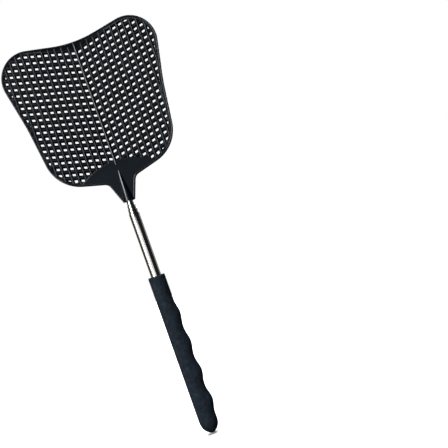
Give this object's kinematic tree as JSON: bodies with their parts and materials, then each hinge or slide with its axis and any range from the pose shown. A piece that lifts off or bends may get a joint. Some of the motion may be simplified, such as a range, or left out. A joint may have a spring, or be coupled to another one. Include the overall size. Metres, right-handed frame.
{
  "type": "telescopic fly swatter",
  "caption": "Hand-held swatter: a moulded mesh paddle on nested steel tubes that slide out, with a soft grip that has finger grooves.",
  "frame": {"origin": "on the tubes' axis at the middle of the grip, where a hand holds it", "axes": "+Z along the tubes from the butt to the head, -Y out of the front of the head, +X towards the finger grooves"},
  "size_m": [0.1084, 0.0116, 0.2818],
  "materials": {
    "head_plastic": "black polypropylene with a fine satin texture",
    "grip_foam": "matte black foam rubber, slightly mottled",
    "tube_steel": "polished stainless steel",
    "spring_bronze": "bare phosphor bronze strip",
    "stud_brass": "turned brass",
    "plug_plastic": "moulded grey plastic"
  },
  "bodies": {
    "handle": {"tube_1": "tube_steel", "base_plug": "plug_plastic", "grip_sleeve": "grip_foam"},
    "springs_2": {"friction_spring_2a": "spring_bronze", "friction_spring_2b": "spring_bronze"},
    "section_2": {"tube_2": "tube_steel"},
    "springs_3": {"friction_spring_3a": "spring_bronze", "friction_spring_3b": "spring_bronze"},
    "section_3": {"tube_3": "tube_steel"},
    "springs_4": {"friction_spring_4a": "spring_bronze", "friction_spring_4b": "spring_bronze"},
    "section_4": {"tube_4": "tube_steel"},
    "springs_5": {"friction_spring_5a": "spring_bronze", "friction_spring_5b": "spring_bronze"},
    "section_5": {"tube_5": "tube_steel", "head_stud": "stud_brass", "swatter_head": "head_plastic"}
  },
  "joints": [
    {"name": "slide_2", "type": "slide", "parent": "handle", "child": "springs_2", "axis": [0, 0, 1], "range_m": [0, 0.1345]},
    {"name": "swivel_2", "type": "hinge", "parent": "springs_2", "child": "section_2", "pos_m": [0, 0, 0], "axis": [0, 0, 1], "continuous": true},
    {"name": "slide_3", "type": "slide", "parent": "section_2", "child": "springs_3", "axis": [0, 0, 1], "range_m": [0, 0.1288]},
    {"name": "swivel_3", "type": "hinge", "parent": "springs_3", "child": "section_3", "pos_m": [0, 0, 0], "axis": [0, 0, 1], "continuous": true},
    {"name": "slide_4", "type": "slide", "parent": "section_3", "child": "springs_4", "axis": [0, 0, 1], "range_m": [0, 0.1231]},
    {"name": "swivel_4", "type": "hinge", "parent": "springs_4", "child": "section_4", "pos_m": [0, 0, 0], "axis": [0, 0, 1], "continuous": true},
    {"name": "slide_5", "type": "slide", "parent": "section_4", "child": "springs_5", "axis": [0, 0, 1], "range_m": [0, 0.1171]},
    {"name": "swivel_5", "type": "hinge", "parent": "springs_5", "child": "section_5", "pos_m": [0, 0, 0], "axis": [0, 0, 1], "continuous": true}
  ]
}
